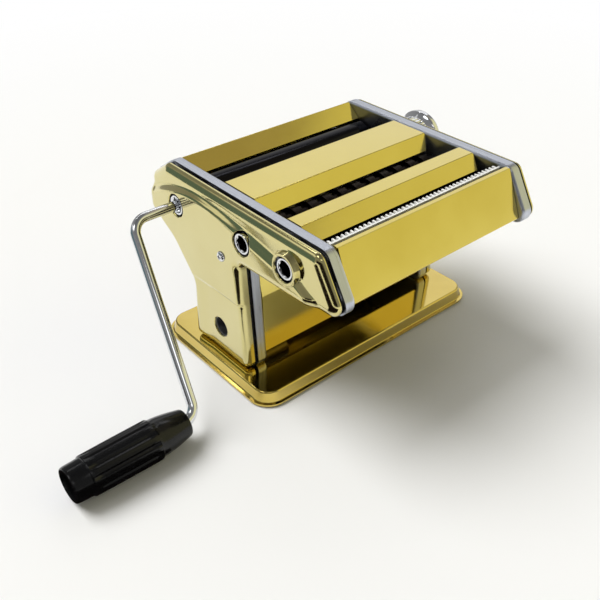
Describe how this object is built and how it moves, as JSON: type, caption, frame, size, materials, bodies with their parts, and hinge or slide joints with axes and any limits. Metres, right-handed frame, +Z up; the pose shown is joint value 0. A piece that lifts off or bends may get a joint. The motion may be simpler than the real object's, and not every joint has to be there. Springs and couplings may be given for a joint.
{
  "type": "pasta roller machine",
  "caption": "Hand-cranked pasta roller machine with a pair of smooth sheet rollers, wide and fine cutter pairs, a gap dial and a bent crank with a turning grip.",
  "frame": {"origin": "centre of the flat underside of the base", "axes": "+X along the rollers away from the crank, -Y the front of the machine, +Z up"},
  "size_m": [0.3522, 0.1905, 0.1345],
  "materials": {
    "gold_sheet": "polished gold-coloured sheet steel",
    "side_steel": "satin",
    "roller_chrome": "polished",
    "cutter_steel": "satin",
    "gear_steel": "plain",
    "bush_plastic": "matte",
    "comb_plastic": "matte",
    "plain_steel": "zinc plated",
    "crank_chrome": "polished",
    "grip_black": "glossy",
    "mat_rubber": "matte"
  },
  "bodies": {
    "root": {"base_tray": "gold_sheet", "left_cover": "gold_sheet", "right_cover": "gold_sheet", "front_panel": "gold_sheet", "front_guard": "gold_sheet", "middle_guard": "gold_sheet", "back_panel": "gold_sheet", "leg_front_sheet": "gold_sheet", "leg_rear_sheet": "gold_sheet", "left_side_plate": "side_steel", "right_side_plate": "side_steel", "sheet_scrapers": "side_steel", "detent_spring": "side_steel", "left_bushes": "bush_plastic", "right_bushes": "bush_plastic", "regulator_bush": "bush_plastic", "carrier_rails": "bush_plastic", "wide_cutter_combs": "comb_plastic", "fine_cutter_combs": "comb_plastic", "fine_guide_comb": "comb_plastic", "tie_rods": "plain_steel", "tie_rod_screws": "plain_steel", "foot_screws": "plain_steel", "foot_nuts": "plain_steel", "clamp_socket": "plain_steel", "cover_posts": "plain_steel", "cover_screws": "crank_chrome", "base_mat": "mat_rubber"},
    "drive_roller": {"drive_sheet_roller": "roller_chrome", "drive_sheet_gear": "gear_steel", "drive_roller_clip": "plain_steel"},
    "adjusting_roller": {"adjusting_sheet_roller": "roller_chrome", "adjusting_sheet_gear": "gear_steel"},
    "carriage": {"left_carrier": "plain_steel", "right_carrier": "plain_steel", "carrier_tie_bar": "plain_steel", "cam_pin": "plain_steel"},
    "regulator": {"regulator_cam": "plain_steel", "regulator_shaft": "plain_steel", "regulator_knob": "crank_chrome", "knob_screw": "crank_chrome"},
    "wide_rear": {"wide_cutter_rear_roller": "cutter_steel", "wide_cutter_rear_gear": "gear_steel"},
    "wide_front": {"wide_cutter_front_roller": "cutter_steel", "wide_cutter_front_gear": "gear_steel"},
    "fine_rear": {"fine_cutter_rear_roller": "cutter_steel", "fine_cutter_rear_gear": "gear_steel"},
    "fine_front": {"fine_cutter_front_roller": "cutter_steel", "fine_cutter_front_gear": "gear_steel"},
    "crank": {"crank_rod": "crank_chrome", "crank_hex_drive": "crank_chrome", "grip_retainer": "crank_chrome"},
    "grip": {"crank_grip": "grip_black"}
  },
  "joints": [
    {"name": "drive_roller_turn", "type": "hinge", "parent": "root", "child": "drive_roller", "pos_m": [0, 0.041, 0.11], "axis": [1, 0, 0], "continuous": true},
    {"name": "crank_pull", "type": "slide", "parent": "drive_roller", "child": "crank", "axis": [-1, 0, 0], "range_m": [0, 0.03]},
    {"name": "grip_turn", "type": "hinge", "parent": "crank", "child": "grip", "pos_m": [0, -0.0465, 0.014], "axis": [1, 0, 0], "continuous": true},
    {"name": "regulator_turn", "type": "hinge", "parent": "root", "child": "regulator", "pos_m": [0, 0.0135, 0.11], "axis": [1, 0, 0], "range_deg": [0, 240]},
    {"name": "carriage_slide", "type": "slide", "parent": "root", "child": "carriage", "axis": [0, -1, 0], "range_m": [0, 0.0024]},
    {"name": "adjusting_roller_turn", "type": "hinge", "parent": "carriage", "child": "adjusting_roller", "pos_m": [0, 0.0135, 0.11], "axis": [1, 0, 0], "continuous": true},
    {"name": "wide_rear_turn", "type": "hinge", "parent": "root", "child": "wide_rear", "pos_m": [0, -0.031, 0.113], "axis": [1, 0, 0], "continuous": true},
    {"name": "wide_front_turn", "type": "hinge", "parent": "root", "child": "wide_front", "pos_m": [0, -0.0496, 0.113], "axis": [1, 0, 0], "continuous": true},
    {"name": "fine_rear_turn", "type": "hinge", "parent": "root", "child": "fine_rear", "pos_m": [0, -0.072, 0.115], "axis": [1, 0, 0], "continuous": true},
    {"name": "fine_front_turn", "type": "hinge", "parent": "root", "child": "fine_front", "pos_m": [0, -0.0906, 0.115], "axis": [1, 0, 0], "continuous": true}
  ],
  "couplings": [
    {"joint": "adjusting_roller_turn", "follows": "drive_roller_turn", "ratio": -1},
    {"joint": "carriage_slide", "follows": "regulator_turn", "m_per_rad": 0.00057296},
    {"joint": "wide_front_turn", "follows": "wide_rear_turn", "ratio": -1},
    {"joint": "fine_front_turn", "follows": "fine_rear_turn", "ratio": -1}
  ]
}
